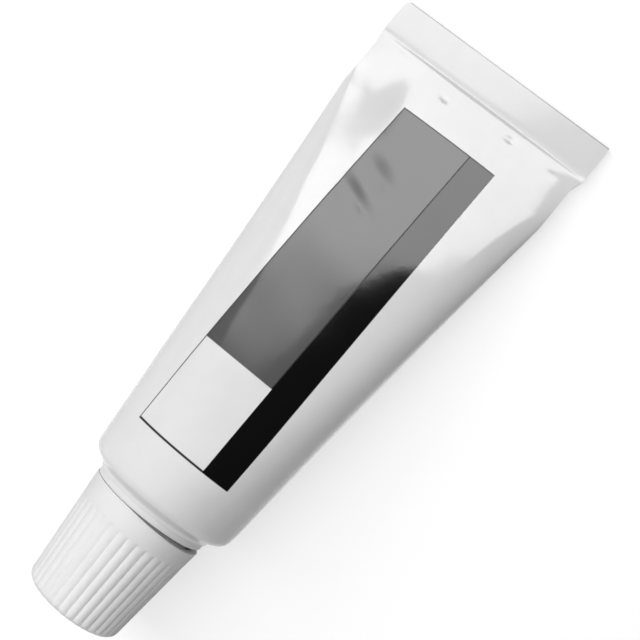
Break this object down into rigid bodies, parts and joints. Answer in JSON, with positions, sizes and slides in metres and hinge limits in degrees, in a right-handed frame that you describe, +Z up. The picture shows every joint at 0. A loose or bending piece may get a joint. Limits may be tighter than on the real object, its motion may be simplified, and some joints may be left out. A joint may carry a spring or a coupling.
{
  "type": "collapsible adhesive tube",
  "caption": "Lying squeeze tube of mounting adhesive with a flat sealed tail, a rounded shoulder and a ribbed cone cap that unscrews from the neck.",
  "frame": {"origin": "on the table, under the middle of the tube's box as it lies", "axes": "+X from the cap to the sealed tail, +Y across the tube, +Z up through the printed face"},
  "size_m": [0.0788, 0.0296, 0.0191],
  "materials": {
    "sleeve_laminate": "satin white laminate with a printed grey and black panel",
    "head_plastic": "moulded white polyethylene",
    "insert_plastic": "natural moulded plastic",
    "mouth_foil": "bright foil",
    "adhesive_paste": "smooth off-white paste",
    "liner_foam": "fine closed-cell foam",
    "cap_plastic": "moulded white plastic with a soft sheen"
  },
  "bodies": {
    "tube": {"tube_sleeve": "sleeve_laminate", "tube_head": "head_plastic", "barrier_insert": "insert_plastic", "foil_membrane": "mouth_foil", "adhesive_fill": "adhesive_paste"},
    "liner": {"cap_liner": "liner_foam"},
    "cap": {"screw_cap": "cap_plastic"}
  },
  "joints": [
    {"name": "cap_lift", "type": "slide", "parent": "tube", "child": "liner", "axis": [-0.9887, 0, 0.15], "range_m": [0, 0.0075]},
    {"name": "cap_turn", "type": "hinge", "parent": "liner", "child": "cap", "pos_m": [-0.02523, 0, 0.01018], "axis": [-0.9887, 0, 0.15], "range_deg": [0, 1080]}
  ],
  "couplings": [
    {"joint": "cap_turn", "follows": "cap_lift", "rad_per_m": 2513.3}
  ]
}
